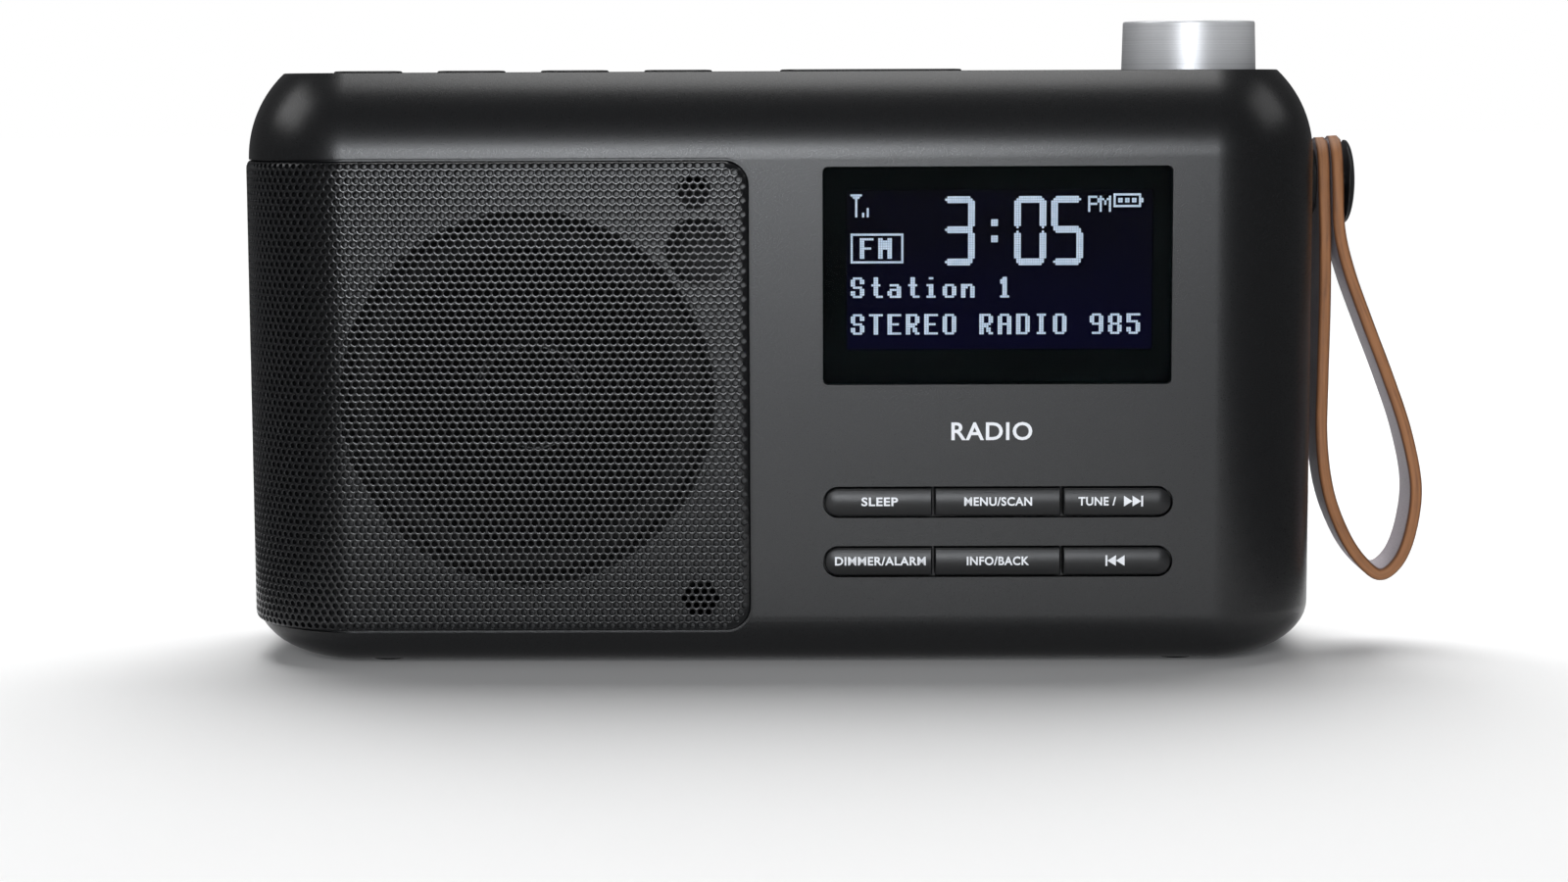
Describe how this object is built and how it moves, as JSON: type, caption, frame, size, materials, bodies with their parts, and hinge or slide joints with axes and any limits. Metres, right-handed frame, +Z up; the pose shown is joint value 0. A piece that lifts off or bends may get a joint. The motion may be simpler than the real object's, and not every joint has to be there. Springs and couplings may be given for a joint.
{
  "type": "portable radio",
  "caption": "Portable digital radio with a wrap-round perforated grille, display window, key rows, top knob, folding rear aerial and a leather wrist loop.",
  "frame": {"origin": "on the surface that the feet stand on, under the middle of the whole radio's box, wrist loop counted", "axes": "+Z up, -Y out of the front, +X to the right seen from the front"},
  "size_m": [0.2251, 0.0585, 0.1208],
  "materials": {
    "case_plastic": "fine-textured matt black",
    "key_plastic": "matt black with pale labels",
    "grille_metal": "semi-gloss black perforated sheet",
    "window_gloss": "smoked glossy pane",
    "inner_plastic": "black moulded plastic",
    "display_glass": "dark blue display glass",
    "backlight": "pale silicone and light guide",
    "board": "green circuit board",
    "knob_metal": "satin turned aluminium",
    "steel": "zinc-plated steel",
    "chrome": "bright chrome plate",
    "cone_paper": "black pressed paper",
    "rubber": "black rubber",
    "strap_leather": "tan vegetable-tanned leather",
    "cell_wrap": "printed-free blue sleeve"
  },
  "bodies": {
    "case": {"battery_tray": "inner_plastic", "case_screw_left_high": "steel", "case_screw_left_low": "steel", "case_screw_right_high": "steel", "case_screw_right_low": "steel", "cell_1": "cell_wrap", "cell_2": "cell_wrap", "cell_3": "cell_wrap", "cell_4": "cell_wrap", "control_board": "board", "dc_socket": "inner_plastic", "display_frame": "inner_plastic", "display_window": "window_gloss", "encoder_body": "steel", "foot_front_left": "rubber", "foot_front_right": "rubber", "foot_rear_left": "rubber", "foot_rear_right": "rubber", "front_shell": "case_plastic", "headphone_socket": "inner_plastic", "key_mat": "backlight", "lcd_backlight": "backlight", "lcd_glass": "display_glass", "main_board": "board", "rear_shell": "case_plastic", "speaker_basket": "steel", "speaker_gasket": "rubber", "speaker_grille": "grille_metal", "speaker_magnet": "steel", "speaker_surround": "rubber", "strap_stud": "case_plastic", "strap_washer": "case_plastic", "top_board": "board", "tuner_module": "steel"},
    "key_sleep": {"key_sleep": "key_plastic"},
    "key_menu": {"key_menu": "key_plastic"},
    "key_tune_up": {"key_tune_up": "key_plastic"},
    "key_dimmer": {"key_dimmer": "key_plastic"},
    "key_info": {"key_info": "key_plastic"},
    "key_tune_down": {"key_tune_down": "key_plastic"},
    "preset_button_1": {"preset_button_1": "key_plastic"},
    "preset_button_2": {"preset_button_2": "key_plastic"},
    "preset_button_3": {"preset_button_3": "key_plastic"},
    "preset_button_4": {"preset_button_4": "key_plastic"},
    "snooze_bar": {"snooze_bar": "key_plastic"},
    "volume_switch": {"encoder_plunger": "steel"},
    "volume": {"volume_knob": "knob_metal", "encoder_shaft": "steel"},
    "wrist_loop": {"wrist_loop": "strap_leather"},
    "aerial_swivel": {"aerial_fork": "chrome", "aerial_pin": "chrome"},
    "aerial_rod": {"aerial_root": "chrome", "aerial_tube_1": "chrome"},
    "aerial_stage_2": {"aerial_tube_2": "chrome"},
    "aerial_stage_3": {"aerial_tube_3": "chrome"},
    "aerial_stage_4": {"aerial_tube_4": "chrome"},
    "battery_door": {"battery_door": "case_plastic"},
    "speaker_cone": {"speaker_cone": "cone_paper", "speaker_dust_cap": "cone_paper", "voice_coil": "steel"}
  },
  "joints": [
    {"name": "key_sleep_press", "type": "slide", "parent": "case", "child": "key_sleep", "axis": [0, 1, 0], "range_m": [0, 0.0008], "stiffness_N_per_m": 1200},
    {"name": "key_menu_press", "type": "slide", "parent": "case", "child": "key_menu", "axis": [0, 1, 0], "range_m": [0, 0.0008], "stiffness_N_per_m": 1200},
    {"name": "key_tune_up_press", "type": "slide", "parent": "case", "child": "key_tune_up", "axis": [0, 1, 0], "range_m": [0, 0.0008], "stiffness_N_per_m": 1200},
    {"name": "key_dimmer_press", "type": "slide", "parent": "case", "child": "key_dimmer", "axis": [0, 1, 0], "range_m": [0, 0.0008], "stiffness_N_per_m": 1200},
    {"name": "key_info_press", "type": "slide", "parent": "case", "child": "key_info", "axis": [0, 1, 0], "range_m": [0, 0.0008], "stiffness_N_per_m": 1200},
    {"name": "key_tune_down_press", "type": "slide", "parent": "case", "child": "key_tune_down", "axis": [0, 1, 0], "range_m": [0, 0.0008], "stiffness_N_per_m": 1200},
    {"name": "preset_button_1_press", "type": "slide", "parent": "case", "child": "preset_button_1", "axis": [0, 0, -1], "range_m": [0, 0.0005], "stiffness_N_per_m": 2500},
    {"name": "preset_button_2_press", "type": "slide", "parent": "case", "child": "preset_button_2", "axis": [0, 0, -1], "range_m": [0, 0.0005], "stiffness_N_per_m": 2500},
    {"name": "preset_button_3_press", "type": "slide", "parent": "case", "child": "preset_button_3", "axis": [0, 0, -1], "range_m": [0, 0.0005], "stiffness_N_per_m": 2500},
    {"name": "preset_button_4_press", "type": "slide", "parent": "case", "child": "preset_button_4", "axis": [0, 0, -1], "range_m": [0, 0.0005], "stiffness_N_per_m": 2500},
    {"name": "snooze_bar_press", "type": "slide", "parent": "case", "child": "snooze_bar", "axis": [0, 0, -1], "range_m": [0, 0.0005], "stiffness_N_per_m": 2500},
    {"name": "volume_push", "type": "slide", "parent": "case", "child": "volume_switch", "axis": [0, 0, -1], "range_m": [0, 0.0004], "stiffness_N_per_m": 5000},
    {"name": "volume_turn", "type": "hinge", "parent": "volume_switch", "child": "volume", "pos_m": [0.0669, -0.0035, 0.1107], "axis": [0, 0, 1], "continuous": true},
    {"name": "wrist_loop_swing", "type": "hinge", "parent": "case", "child": "wrist_loop", "pos_m": [0.0899, 0, 0.0896], "axis": [1, 0, 0], "continuous": true},
    {"name": "aerial_raise", "type": "hinge", "parent": "case", "child": "aerial_swivel", "pos_m": [0.0729, 0.025, 0.0986], "axis": [0, 1, 0], "range_deg": [0, 180]},
    {"name": "aerial_tilt", "type": "hinge", "parent": "aerial_swivel", "child": "aerial_rod", "pos_m": [0.0729, 0.025, 0.0986], "axis": [0, 0, -1], "range_deg": [0, 90]},
    {"name": "aerial_extend_2", "type": "slide", "parent": "aerial_rod", "child": "aerial_stage_2", "axis": [-1, 0, 0], "range_m": [0, 0.108]},
    {"name": "aerial_extend_3", "type": "slide", "parent": "aerial_stage_2", "child": "aerial_stage_3", "axis": [-1, 0, 0], "range_m": [0, 0.108]},
    {"name": "aerial_extend_4", "type": "slide", "parent": "aerial_stage_3", "child": "aerial_stage_4", "axis": [-1, 0, 0], "range_m": [0, 0.108]},
    {"name": "battery_door_off", "type": "slide", "parent": "case", "child": "battery_door", "axis": [0, 1, 0], "range_m": [0, 0.03]},
    {"name": "cone_travel", "type": "slide", "parent": "case", "child": "speaker_cone", "axis": [0, -1, 0], "range_m": [-0.0008, 0.0008], "stiffness_N_per_m": 1000}
  ]
}
